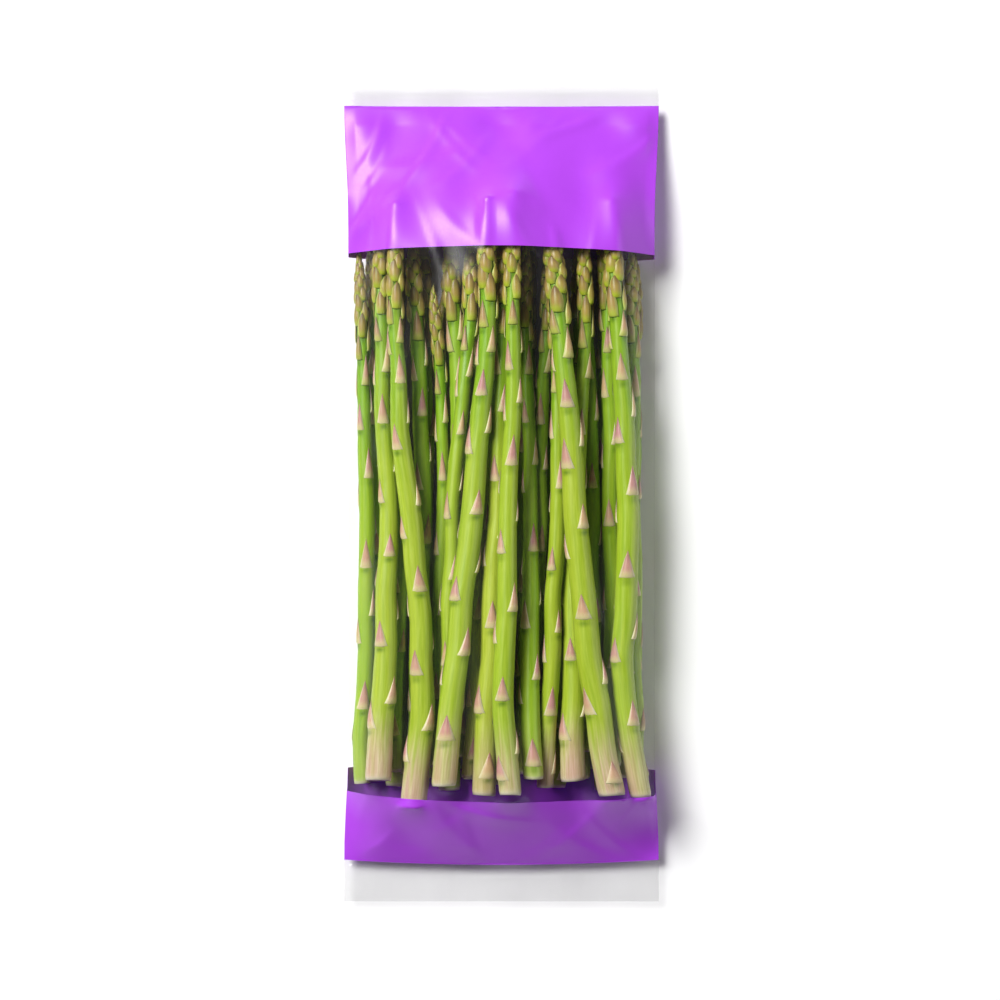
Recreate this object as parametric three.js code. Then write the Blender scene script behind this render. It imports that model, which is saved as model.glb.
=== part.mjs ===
// A clear printed film bag of asparagus spears, lying on its back.
// Millimetres. X runs across the bag, Y runs along the spears with the tips towards +Y, and Z is up.
// The origin is on the surface the bag lies on, under the middle of the bag.
import * as THREE from "three";

// ---- Driving dimensions ----

const BAG_LENGTH = 330;
const BAG_END_WIDTH = 127; // across the flat heat seals
const BAG_WAIST_WIDTH = 123; // where the filled bag draws its sides in
const TOP_SEAL = 9; // length of the heat-sealed strip beyond the tips
const BOTTOM_SEAL = 15; // length of the heat-sealed strip beyond the cut ends
const SEAL_HEIGHT = 5; // the seals float this far above the surface
const SIDE_HEIGHT = 14; // height of the welded side edge beside the spears
const FILM = 0.3; // film thickness, drawn thicker than the real 0.06
const FILM_GAP = 0.3; // between the two panels where they are sealed
const CLEARANCE = 0.6; // between neighbouring spears, and between spear and film

const SPEAR_SIDES = 10;
const FRONT_CELLS = { across: 18, along: 30 };
const BACK_CELLS = { across: 14, along: 22 };

// Each spear is given by where its cut end and its tip lie along Y, where its centre line lies across the
// bag at even steps from the cut end to the tip, and its diameter at even steps from the cut end to the
// neck below the head. They are listed in the order they stack up.
const SPEARS = [
  // The layer that lies on the back panel.
  { y: [-117, 103], across: [-52.5, -52.2, -52.1, -52.2, -52.5], d: [9.6, 9.4, 9.2, 7.4] },
  { y: [-119, 106], across: [-42, -42.1, -42.1, -42.1, -42], d: [9.8, 9.6, 9.2, 7.6] },
  { y: [-115, 108], across: [-31.5, -31.3, -31.2, -31.3, -31.5], d: [9.6, 9.4, 9.2, 7.4] },
  { y: [-120, 101], across: [-21, -21.2, -21.3, -21.2, -21], d: [9.8, 9.6, 9.2, 7.6] },
  { y: [-116, 109], across: [-10.5, -10.4, -10.4, -10.4, -10.5], d: [9.6, 9.4, 9.2, 7.4] },
  { y: [-118, 104], across: [0, 0, 0, 0, 0], d: [9.8, 9.6, 9.2, 7.6] },
  { y: [-114, 107], across: [10.5, 10.3, 10.3, 10.3, 10.5], d: [9.6, 9.4, 9.2, 7.4] },
  { y: [-119, 102], across: [21, 21.2, 21.3, 21.2, 21], d: [9.8, 9.6, 9.2, 7.6] },
  { y: [-116, 108], across: [31.5, 31.4, 31.4, 31.4, 31.5], d: [9.6, 9.4, 9.2, 7.4] },
  { y: [-120, 105], across: [42, 42.1, 42.2, 42.1, 42], d: [9.8, 9.6, 9.2, 7.6] },
  { y: [-115, 100], across: [52.5, 52.2, 52.1, 52.2, 52.5], d: [9.6, 9.4, 9.2, 7.4] },
  // The spears that lie in and over its valleys, with their cut ends out of sight.
  { y: [-112, 98], across: [-43.8, -42.4, -41, -41.6, -43.6], d: [8.2, 7.8, 7, 6] },
  { y: [-104, 104], across: [-34.2, -32.8, -31.4, -33, -35.2], d: [8.8, 8.2, 7.2, 6.6] },
  { y: [-106, 109], across: [-17.2, -16.6, -16.6, -18.6, -21.4], d: [8, 7.6, 7.2, 7] },
  { y: [-110, 83], across: [-26, -24.6, -23.6, -24.6, -27.2], d: [7, 6.6, 5.6, 5] },
  { y: [-114.5, 100], across: [-7.2, -6.6, -5.4, -3.4, -1.6], d: [8.6, 8, 7, 6] },
  { y: [-105, 99], across: [13.6, 13.8, 15.4, 17.4, 18.4], d: [8, 7.4, 6.4, 5.4] },
  { y: [-104, 103], across: [36, 36.2, 36.6, 35.4, 33.4], d: [8.2, 7.6, 6.6, 5.6] },
  { y: [-110, 112], across: [44.6, 44.4, 44, 42.6, 41.6], d: [7.6, 7.4, 7.2, 6.4] },
  { y: [-104, 97], across: [53.2, 52.8, 52.4, 52.8, 52.6], d: [7.8, 7.6, 7.2, 6.2] },
  // The spears whose cut ends make the row that shows, the lower ones first.
  { y: [-117, 97], across: [-56.2, -55.8, -54.2, -53.8, -55, -56.4, -57], d: [7.4, 7.2, 7, 5.4] },
  { y: [-121.5, 116], across: [55.6, 48, 48.8, 50.6, 49.4, 44.8, 43.6], d: [9.6, 10, 9.6, 7.6] },
  { y: [-115.5, 107], across: [29.4, 28.4, 28.4, 30, 31.8, 33, 33.4], d: [11.2, 9.4, 7.6, 6] },
  { y: [-100, 106], across: [-22, -21.6, -20.6, -19, -15.8, -12.6, -12.2], d: [6.8, 6.6, 6.4, 6] },
  { y: [-114, 80], across: [-13.4, -10.2, -8, -6.2, -4.6], d: [6.2, 5.8, 5.4, 4.8] },
  { y: [-118, 92], across: [18, 19, 20.6, 22.2, 22.4, 21.4, 20.2], d: [7.4, 7.4, 6.8, 5.4] },
  { y: [-121, 108], across: [-7.4, -5.4, -3.8, -1.8, -0.6, 0.2, 0.2], d: [10.4, 9.2, 8, 6.6] },
  { y: [-114, 102], across: [12.6, 10.6, 11.4, 11.6, 11, 10.2, 9.8], d: [9, 8.2, 6.4, 5.6] },
  // The spears that lie on top.
  { y: [-115.5, 112], across: [-49.2, -47, -45.2, -45.4, -47.4, -48.4, -48], d: [11.8, 9.8, 8, 6.6] },
  { y: [-124, 114], across: [-35.6, -31.4, -32, -36.4, -41.6, -42.4, -41.6], d: [11.8, 10, 9.4, 6.4] },
  { y: [-116.5, 116], across: [-22.6, -19, -15.4, -11, -7.6, -5.4, -5.8], d: [11, 10.4, 10, 7.4] },
  { y: [-120.5, 118], across: [3.4, 0.6, 1.4, 3.6, 4, 4.6, 5], d: [9.8, 9.2, 7.8, 6.6] },
  { y: [-121, 112], across: [43.8, 37, 32.6, 28.2, 26.6, 23, 18.4], d: [12, 11.2, 10.4, 8.4] },
];

// ---- Small curve helpers ----

const clamp = (value, low, high) => Math.min(high, Math.max(low, value));
const smooth = (t) => t * t * (3 - 2 * t);

// The value at share t, 0 to 1, of the curve through values that are spaced evenly along it.
function through(values, t) {
  const points = values.map((value, i) => new THREE.Vector3(i, value, 0));
  return new THREE.CatmullRomCurve3(points).getPoint(clamp(t, 0, 1)).y;
}

// ---- A spear ----

const NECK_AT = 0.76; // share of the length where the head begins
const HEAD_AT = 0.87; // share of the length where the head is fattest
const HEAD_SWELL = 1.22; // the head's diameter over the neck's
const PROFILE_AT = [0, 0.14, 0.3, 0.46, 0.62, 0.76, 0.82, 0.87, 0.92, 0.965, 1];

// A spear's radius at share t of its length, from the cut end to the rounded tip.
function radiusAt(spear, t) {
  const [butt, quarter, middle, neck] = spear.d.map((d) => d / 2);
  if (t <= NECK_AT) return through([butt, quarter, middle, neck], t / NECK_AT);
  const head = neck * HEAD_SWELL;
  if (t <= HEAD_AT) return neck + (head - neck) * smooth((t - NECK_AT) / (HEAD_AT - NECK_AT));
  return head * Math.sqrt(Math.max(0, 1 - ((t - HEAD_AT) / (1 - HEAD_AT)) ** 2.2));
}

// Where the centre line lies across the bag, and the radius, at height y along the bag.
function sectionAt(spear, y) {
  const t = (y - spear.y[0]) / (spear.y[1] - spear.y[0]);
  if (t < 0 || t > 1) return null;
  return { t, x: through(spear.across, t), r: radiusAt(spear, t) };
}

// Where the spear's centre line lies above the surface, at share t of its length.
const heightAt = (spear, t) => through(spear.heights, t);

// ---- Stacking: each spear comes down on those below it and sags between them a little ----

const STATIONS = 36;
const KNOTS = 7; // heights are held at this many places along a spear
const STIFFNESS = 0.06; // cost of a bend against the cost of lying high
const FLOOR_UNDER_SPEARS = FILM + CLEARANCE;
const STEPS = [8, 4, 2, 1, 0.5, 0.25, 0.1, 0.05];

// The lowest height that the spear's centre may have at share t, over the film and the spears in place.
function lowestAt(spear, t, placed) {
  const y = THREE.MathUtils.lerp(spear.y[0], spear.y[1], t);
  const own = sectionAt(spear, y);
  let low = FLOOR_UNDER_SPEARS + own.r;
  for (const other of placed) {
    const under = sectionAt(other, clamp(y, other.y[0] + 0.01, other.y[1] - 0.01));
    if (y < other.y[0] - CLEARANCE || y > other.y[1] + CLEARANCE) continue;
    const reach = own.r + under.r + CLEARANCE;
    const apart = Math.abs(own.x - under.x);
    if (apart < reach) low = Math.max(low, heightAt(other, under.t) + Math.sqrt(reach ** 2 - apart ** 2));
  }
  return low;
}

// The ways in which a spear may move: all of it, either end, a bow, or one knot at a time.
function moves() {
  const along = Array.from({ length: KNOTS }, (_, k) => k / (KNOTS - 1));
  const whole = [along.map(() => 1), along, along.map((t) => 1 - t)];
  const bows = [along.map((t) => (2 * t - 1) ** 2), along.map((t) => 1 - (2 * t - 1) ** 2)];
  const single = along.map((_, k) => along.map((_, j) => (j === k ? 1 : 0)));
  return [...whole, ...bows, ...single];
}

// How high the spear lies on average, and how much it bends.
function cost(heights) {
  const mean = heights.reduce((sum, z) => sum + z, 0) / heights.length;
  let bend = 0;
  for (let k = 1; k < heights.length - 1; k++) {
    bend += (heights[k - 1] - 2 * heights[k] + heights[k + 1]) ** 2;
  }
  return mean + STIFFNESS * bend;
}

// Lets the spear down in ever smaller steps until no move brings it lower without pushing into another.
function setDown(spear, placed) {
  const shares = Array.from({ length: STATIONS + 1 }, (_, i) => i / STATIONS);
  const lows = shares.map((t) => lowestAt(spear, t, placed));
  const clear = (heights) => shares.every((t, i) => through(heights, t) >= lows[i]);
  spear.heights = new Array(KNOTS).fill(Math.max(...lows) + 1);
  for (const step of STEPS) {
    for (let moved = true; moved; ) {
      moved = false;
      for (const move of moves()) {
        for (const amount of [-step, step]) {
          const next = spear.heights.map((z, k) => z + amount * move[k]);
          if (cost(next) < cost(spear.heights) - 1e-6 && clear(next)) {
            spear.heights = next;
            moved = true;
          }
        }
      }
    }
  }
}

SPEARS.forEach((spear, i) => setDown(spear, SPEARS.slice(0, i)));

// One spear: a turned profile along Y, bent onto its centre line.
function spearGeometry(spear) {
  const [y0, y1] = spear.y;
  const rim = PROFILE_AT.slice(0, -1).map((t) => {
    return new THREE.Vector2(radiusAt(spear, t), THREE.MathUtils.lerp(y0, y1, t));
  });
  const profile = [new THREE.Vector2(0, y0), ...rim, new THREE.Vector2(0, y1)];
  const geometry = new THREE.LatheGeometry(profile, SPEAR_SIDES);
  const position = geometry.getAttribute("position");
  for (let i = 0; i < position.count; i++) {
    const t = clamp((position.getY(i) - y0) / (y1 - y0), 0, 1);
    position.setX(i, position.getX(i) + through(spear.across, t));
    position.setZ(i, position.getZ(i) + heightAt(spear, t));
  }
  return geometry;
}

// ---- The film panels ----

const SIDE_RISE_FROM = 47; // the back panel lies flat up to this far from the middle
const SEAL_START = -BAG_LENGTH / 2 + BOTTOM_SEAL;
const SEAL_END = BAG_LENGTH / 2 - TOP_SEAL;
const FLAT_FROM = -119; // the back panel lies flat along Y between these
const FLAT_TO = 108;
const RELAX_STEPS = 500;

// 0 at the seals and 1 along the filled part of the bag.
function fullness(y) {
  const fromEnd = Math.min(y - SEAL_START, SEAL_END - y);
  return smooth(clamp(fromEnd / 45, 0, 1));
}

const halfWidth = (y) => THREE.MathUtils.lerp(BAG_END_WIDTH, BAG_WAIST_WIDTH, fullness(y)) / 2;
const edgeHeight = (y) => THREE.MathUtils.lerp(SEAL_HEIGHT, SIDE_HEIGHT, fullness(y));

// The grid of a panel: columns crowd towards the sides, where the film turns steeply.
function panelGrid({ across, along }) {
  const columns = Array.from({ length: across + 1 }, (_, i) => Math.sin(Math.PI * (i / across - 0.5)));
  const rows = Array.from({ length: along + 1 }, (_, j) => BAG_LENGTH * (j / along - 0.5));
  return { columns, rows };
}

// The top (side 1) or underside (side -1) of the spears at a point, or null where there is none.
function bundleAt(x, y, side) {
  let found = null;
  for (const spear of SPEARS) {
    const section = sectionAt(spear, y);
    if (!section || Math.abs(x - section.x) >= section.r) continue;
    const z = heightAt(spear, section.t) + side * Math.sqrt(section.r ** 2 - (x - section.x) ** 2);
    if (found === null || side * (z - found) > 0) found = z;
  }
  return found;
}

// The furthest that the spears reach within the cells round a grid point.
function reachRound(columns, rows, i, j, side) {
  const SAMPLES = 6;
  let found = null;
  for (let a = -SAMPLES; a <= SAMPLES; a++) {
    for (let b = -SAMPLES; b <= SAMPLES; b++) {
      const toColumn = columns[clamp(i + Math.sign(a), 0, columns.length - 1)];
      const toRow = rows[clamp(j + Math.sign(b), 0, rows.length - 1)];
      const y = THREE.MathUtils.lerp(rows[j], toRow, Math.abs(b) / SAMPLES);
      const column = THREE.MathUtils.lerp(columns[i], toColumn, Math.abs(a) / SAMPLES);
      const z = bundleAt(column * halfWidth(y), y, side);
      if (z !== null && (found === null || side * (z - found) > 0)) found = z;
    }
  }
  return found;
}

// Heights of the middle of the front film: stretched over the spears from the seals and side edges.
function frontHeights({ columns, rows }) {
  const lift = CLEARANCE + FILM / 2;
  const held = (i, j) => i === 0 || i === columns.length - 1 || rows[j] <= SEAL_START || rows[j] >= SEAL_END;
  const obstacle = rows.map((_, j) => columns.map((_, i) => reachRound(columns, rows, i, j, 1)));
  const z = rows.map((y) => columns.map(() => edgeHeight(y) + (FILM + FILM_GAP) / 2));
  for (let step = 0; step < RELAX_STEPS; step++) {
    for (let j = 1; j < rows.length - 1; j++) {
      for (let i = 0; i < columns.length; i++) {
        if (held(i, j)) continue;
        const mean = (z[j][i - 1] + z[j][i + 1] + z[j - 1][i] + z[j + 1][i]) / 4;
        z[j][i] = Math.max(mean, obstacle[j][i] === null ? 0 : obstacle[j][i] + lift);
      }
    }
  }
  return z;
}

// Heights of the middle of the back film: flat on the surface, turned up to the side edges and seals.
function backHeights({ columns, rows }) {
  const drop = CLEARANCE + FILM / 2;
  return rows.map((y, j) =>
    columns.map((column, i) => {
      const edge = edgeHeight(y) - (FILM + FILM_GAP) / 2;
      if (i === 0 || i === columns.length - 1) return edge;
      const half = halfWidth(y);
      const across = clamp((Math.abs(column * half) - SIDE_RISE_FROM) / (half - SIDE_RISE_FROM), 0, 1) ** 2;
      const toBottom = clamp((FLAT_FROM - y) / (FLAT_FROM - SEAL_START), 0, 1);
      const toTop = clamp((y - FLAT_TO) / (SEAL_END - FLAT_TO), 0, 1);
      const rise = 1 - (1 - across) * (1 - smooth(toBottom)) * (1 - smooth(toTop));
      const free = FILM / 2 + rise * (edge - FILM / 2);
      const under = reachRound(columns, rows, i, j, -1);
      return Math.max(FILM / 2, under === null ? free : Math.min(free, under - drop));
    }),
  );
}

// Splits each cell of a box's underside along the same diagonal as the cell above it, so that a sheet
// as thin as film never passes through itself where a cell is twisted.
function alignDiagonals(geometry) {
  const index = geometry.getIndex();
  const underside = geometry.groups[5];
  for (let k = underside.start; k < underside.start + underside.count; k += 6) {
    const [a, b, d, c] = [0, 1, 2, 4].map((step) => index.getX(k + step));
    [a, b, c, a, c, d].forEach((corner, step) => index.setX(k + step, corner));
  }
}

// A thin closed sheet whose middle surface has these heights.
function panelGeometry(cells, heightsOf) {
  const grid = panelGrid(cells);
  const heights = heightsOf(grid);
  const geometry = new THREE.BoxGeometry(1, 1, 1, cells.across, cells.along, 1);
  const position = geometry.getAttribute("position");
  for (let k = 0; k < position.count; k++) {
    const i = Math.round((position.getX(k) + 0.5) * cells.across);
    const j = Math.round((position.getY(k) + 0.5) * cells.along);
    const y = grid.rows[j];
    const z = heights[j][i] + Math.sign(position.getZ(k)) * (FILM / 2);
    position.setXYZ(k, grid.columns[i] * halfWidth(y), y, z);
  }
  alignDiagonals(geometry);
  return geometry;
}

// ---- Materials and the finished group ----

const bundle = new THREE.Group();

function add(name, geometry, material) {
  const mesh = new THREE.Mesh(geometry, material);
  mesh.name = name;
  bundle.add(mesh);
}

SPEARS.forEach((spear, i) => {
  const skin = new THREE.MeshStandardMaterial({ color: 0x9fbf4a, roughness: 0.5, metalness: 0 });
  add("spear_" + String(i + 1).padStart(2, "0"), spearGeometry(spear), skin);
});

const frontFilm = new THREE.MeshStandardMaterial({
  color: 0xeeeeee,
  roughness: 0.15,
  metalness: 0,
  transparent: true,
  opacity: 0.3,
});
add("bag_front_panel", panelGeometry(FRONT_CELLS, frontHeights), frontFilm);

const backFilm = frontFilm.clone();
add("bag_back_panel", panelGeometry(BACK_CELLS, backHeights), backFilm);

export default bundle;
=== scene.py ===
"""The looks of a bag of asparagus: a bundle of fresh spears sealed in clear film with plain purple bands."""

import logging
import math
from dataclasses import dataclass, field
from enum import Enum
from functools import partial

import bmesh
import bpy
import numpy as np
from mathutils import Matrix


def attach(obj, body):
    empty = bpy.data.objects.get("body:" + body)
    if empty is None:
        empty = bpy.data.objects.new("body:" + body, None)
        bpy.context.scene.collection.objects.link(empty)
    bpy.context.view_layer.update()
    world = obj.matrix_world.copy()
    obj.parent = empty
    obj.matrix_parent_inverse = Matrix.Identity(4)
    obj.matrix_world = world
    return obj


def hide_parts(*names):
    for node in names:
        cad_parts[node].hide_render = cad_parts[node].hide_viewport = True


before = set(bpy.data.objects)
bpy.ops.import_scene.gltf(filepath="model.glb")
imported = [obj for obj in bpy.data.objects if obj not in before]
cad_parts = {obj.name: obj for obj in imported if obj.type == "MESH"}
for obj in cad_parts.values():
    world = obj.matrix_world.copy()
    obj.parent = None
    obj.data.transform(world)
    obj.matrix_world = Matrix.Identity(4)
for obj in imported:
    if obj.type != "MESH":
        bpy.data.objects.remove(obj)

log = logging.getLogger("asparagus_bag")

Socket = bpy.types.NodeSocket
Triple = tuple[float, float, float]
Layers = dict[str, bmesh.types.BMLayerItem]

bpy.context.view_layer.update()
MM = 0.001
SEED = 20
GOLDEN_ANGLE = math.radians(137.5)  # from each scale leaf to the next, as plants grow them
MIX_UNDER, MIX_OVER = 6, 7  # a colour Mix node's two colour inputs
MIXED = 2  # and its colour output


# ---- Small helpers ----


def hex_to_linear(code: str) -> tuple[float, float, float, float]:
    """Turns an sRGB hex colour into linear values.

    Args:
        code: six hex digits, such as "b3ce59".

    Returns:
        Red, green, blue and an alpha of 1.
    """
    channels = [int(code[i : i + 2], 16) / 255 for i in (0, 2, 4)]
    linear = [c / 12.92 if c <= 0.04045 else ((c + 0.055) / 1.055) ** 2.4 for c in channels]
    return (linear[0], linear[1], linear[2], 1.0)


def ramp(value: float, low: float, high: float) -> float:
    """Rises smoothly from 0 at low to 1 at high, or falls where low is the larger."""
    share = min(1.0, max(0.0, (value - low) / (high - low)))
    return share * share * (3 - 2 * share)


def blend(a: float, b: float, share: float) -> float:
    """The value at a share of the way from a to b."""
    return a + (b - a) * share


def add_node(
    tree: bpy.types.NodeTree, kind: str, inputs: dict | None = None, **settings: object
) -> bpy.types.Node:
    """Adds a node with its settings and links.

    Args:
        tree: the material's node tree.
        kind: the node's type.
        inputs: for each input socket's name or number, a socket to link from or a value to set.
        settings: the node's own properties.

    Returns:
        The new node.
    """
    node = tree.nodes.new(kind)
    for name, value in settings.items():
        setattr(node, name, value)
    for name, source in (inputs or {}).items():
        if isinstance(source, bpy.types.NodeSocket):
            tree.links.new(source, node.inputs[name])
        else:
            node.inputs[name].default_value = source
    return node


def new_material(name: str) -> bpy.types.Material:
    """Makes a material with an empty node tree.

    Args:
        name: the material's name.

    Returns:
        The new material.
    """
    material = bpy.data.materials.new(name)
    material.use_nodes = True
    material.node_tree.nodes.clear()
    return material


def finish_mesh(bm: bmesh.types.BMesh, name: str, materials: list[bpy.types.Material]) -> bpy.types.Object:
    """Turns a bmesh into an object at the origin.

    Args:
        bm: the finished shape, in metres. It is freed.
        name: the piece's name.
        materials: its material slots, in order.

    Returns:
        The new object, linked to the scene.
    """
    mesh = bpy.data.meshes.new(name)
    bm.to_mesh(mesh)
    bm.free()
    for material in materials:
        mesh.materials.append(material)
    piece = bpy.data.objects.new(name, mesh)
    bpy.context.scene.collection.objects.link(piece)
    return piece


# ---- Finishes ----


@dataclass(frozen=True)
class Rise:
    """A smooth rise from nothing where a value is low to full strength where it is high."""

    source: Socket
    low: float
    high: float
    strength: float = 1.0


@dataclass(frozen=True)
class SpearSkin:
    """The waxy skin of a fresh green asparagus spear, with its scales, and the pale cut end.

    It gives the eye a satin sheen, fine streaks along the stem, mauve and tan scales with pale margins,
    dark green marks with painted shade under the scales, olive heads with dark tips and some painted shade,
    and a woody, blushing foot.
    """

    name: str = "asparagus_skin"
    fresh: tuple[str, str] = ("84ac12", "99bb24")  # streaks of the green stem, dark and light
    straw: tuple[str, str] = ("a2ae26", "b9c344")  # the same on a spear that is turning yellow
    young: tuple[str, str] = ("62980a", "7dae14")  # the fresh growth near the head
    butt: tuple[str, str] = ("b5a56c", "d8c8a4")  # woody stem near the cut
    blush: str = "c08f8a"
    scale_base: str = "d6c795"
    scale_mauve: str = "c07f8a"
    scale_tan: str = "c9a578"
    scale_tip: str = "965460"
    head_base: str = "b4c526"
    head_scale: str = "a8922e"
    head_tip: str = "5c3028"
    # dark purple of the heads: partly their own purple tips, partly painted shade from the printed band
    # above
    head_purple_and_shade: str = "4a2432"
    margin: str = "e2ddb4"
    # dark green of the marks under the scale leaves and on their feet, partly painted shade under their
    # ledges
    mark_and_shade_green: str = "3c650a"
    cut_rim: str = "e9e2c6"
    cut_face: tuple[str, str] = ("c2bd80", "e6dec0")
    wax_roughness: float = 0.38
    uneven_wax: float = 0.14  # how much the roughness varies from streak to streak
    streak_mm: float = 0.8  # width of the lengthwise streaks
    blotches_per_mm: float = 0.24
    fibres_per_mm: float = 1.6  # fibre bundles across the cut face
    relief_mm: float = 0.1  # height of the streaks

    @staticmethod
    def coat(
        tree: bpy.types.NodeTree, under: str | Socket, over: str | Socket, *shares: Rise | Socket | float
    ) -> Socket:
        """Lays one colour over another.

        Args:
            tree: the skin's node tree.
            under: the colour below, a hex code or a socket.
            over: the colour laid on it, a hex code or a socket.
            shares: how far it covers, which is all of these multiplied.

        Returns:
            The colour that shows.
        """
        cover = None
        for share in shares:
            if isinstance(share, Rise):
                inputs = {"Value": share.source, "From Min": share.low, "From Max": share.high}
                inputs |= {"To Min": 0.0, "To Max": share.strength}
                smooth = add_node(tree, "ShaderNodeMapRange", inputs, interpolation_type="SMOOTHSTEP")
                share = smooth.outputs[0]
            if cover is None:
                cover = share
            else:
                inputs = {0: cover, 1: share}
                cover = add_node(tree, "ShaderNodeMath", inputs, operation="MULTIPLY").outputs[0]
        inputs = {0: cover}
        for number, colour in ((MIX_UNDER, under), (MIX_OVER, over)):
            inputs[number] = hex_to_linear(colour) if isinstance(colour, str) else colour
        return add_node(tree, "ShaderNodeMix", inputs, data_type="RGBA").outputs[MIXED]

    def build(self) -> bpy.types.Material:
        """Builds the skin, which reads the attributes that each spear's mesh carries.

        Returns:
            The finished material.
        """
        material = new_material(self.name)
        tree = material.node_tree
        coat = partial(self.coat, tree)
        carried = {}
        for name in ("growth", "scale", "tone", "mark_and_shade", "skin"):
            vector = add_node(tree, "ShaderNodeAttribute", attribute_name=name).outputs["Vector"]
            carried[name] = (*add_node(tree, "ShaderNodeSeparateXYZ", {0: vector}).outputs, vector)
        along, kind, tint, _ = carried["growth"]
        across, up, headness, _ = carried["scale"]
        # purple: how purple and dark the head is, partly its own colour and partly painted shade
        yellow, woody, purple, _ = carried["tone"]
        mark_and_shade, rim, _, _ = carried["mark_and_shade"]
        place = carried["skin"][3]
        patterns = []
        for scale, detail in ((1 / self.streak_mm, 4.0), (self.blotches_per_mm, 3.0)):
            inputs = {"Vector": place, "Scale": scale, "Detail": detail, "Roughness": 0.6}
            patterns.append(add_node(tree, "ShaderNodeTexNoise", inputs).outputs["Fac"])
        streak, blotch = patterns
        streaks = Rise(streak, 0.3, 0.7)
        inputs = {0: blotch, 1: -0.12, 2: along}
        ragged = add_node(tree, "ShaderNodeMath", inputs, operation="MULTIPLY_ADD").outputs[0]

        # The stem, from its own green to the woody foot, the dark green marks with painted shade under the
        # scales, and the cut's pale rim.
        stem = coat(coat(*self.fresh, streaks), coat(*self.straw, streaks), yellow)
        stem = coat(stem, coat(*self.young, streaks), Rise(along, 0.5, 0.82, 0.85))
        stem = coat(stem, self.straw[1], Rise(blotch, 0.38, 0.62, 0.22))
        stem = coat(stem, coat(*self.butt, streaks), Rise(ragged, 0.09, -0.05), woody)
        stem = coat(stem, self.blush, Rise(along, 0.13, 0.0, 0.6), woody, Rise(blotch, 0.38, 0.62))
        stem = coat(stem, self.mark_and_shade_green, mark_and_shade, 0.75)
        stem = coat(stem, self.cut_rim, rim)

        # The scales, from base to tip, then their margins, and a dark green line on the foot under each
        # ledge, partly the stem's own green and partly painted shade.
        edge = add_node(tree, "ShaderNodeMath", {0: across}, operation="ABSOLUTE").outputs[0]
        body = coat(self.scale_mauve, self.scale_tan, tint)
        body = coat(body, self.head_scale, Rise(headness, 0.2, 1.0, 0.8))
        tip = coat(self.scale_tip, coat(self.head_tip, self.head_purple_and_shade, purple), headness)
        base = coat(self.scale_base, self.head_base, headness)
        scales = coat(base, body, Rise(up, 0.02, 0.38))
        scales = coat(scales, tip, Rise(up, 0.4, 0.95, 0.7))
        # Heads darkened towards purple: partly their own colour, partly painted shade.
        scales = coat(scales, self.head_purple_and_shade, headness, purple, 0.35)
        pale = coat(self.margin, self.head_base, headness, 0.8)
        scales = coat(scales, pale, Rise(edge, 0.66, 0.98, 0.75))
        scales = coat(scales, stem, Rise(streak, 0.3, 0.7, 0.2))
        scales = coat(scales, self.mark_and_shade_green, Rise(up, 0.01, -0.04))

        # What kind of surface it is: 0 stem, 1 scale, 2 cut face.
        colour = coat(stem, scales, Rise(kind, 0.2, 0.8))
        inputs = {"Vector": place, "Scale": self.fibres_per_mm}
        fibres = add_node(tree, "ShaderNodeTexVoronoi", inputs, feature="F1").outputs["Distance"]
        colour = coat(colour, coat(*self.cut_face, Rise(fibres, 0.15, 0.45)), Rise(kind, 1.2, 1.8))

        inputs = {"Strength": 0.3, "Distance": self.relief_mm * MM, "Height": streak}
        relief = add_node(tree, "ShaderNodeBump", inputs)
        inputs = {0: streak, 1: self.uneven_wax, 2: self.wax_roughness - self.uneven_wax / 2}
        rough = add_node(tree, "ShaderNodeMath", inputs, operation="MULTIPLY_ADD")
        inputs = {
            "Base Color": colour,
            "Roughness": rough.outputs[0],
            "Normal": relief.outputs["Normal"],
            "IOR": 1.42,
            "Subsurface Weight": 0.05,
            "Subsurface Radius": (0.8, 1.0, 0.3),
            "Subsurface Scale": 1.0 * MM,
        }
        surface = add_node(tree, "ShaderNodeBsdfPrincipled", inputs)
        add_node(tree, "ShaderNodeOutputMaterial", {"Surface": surface.outputs[0]})
        return material


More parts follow.
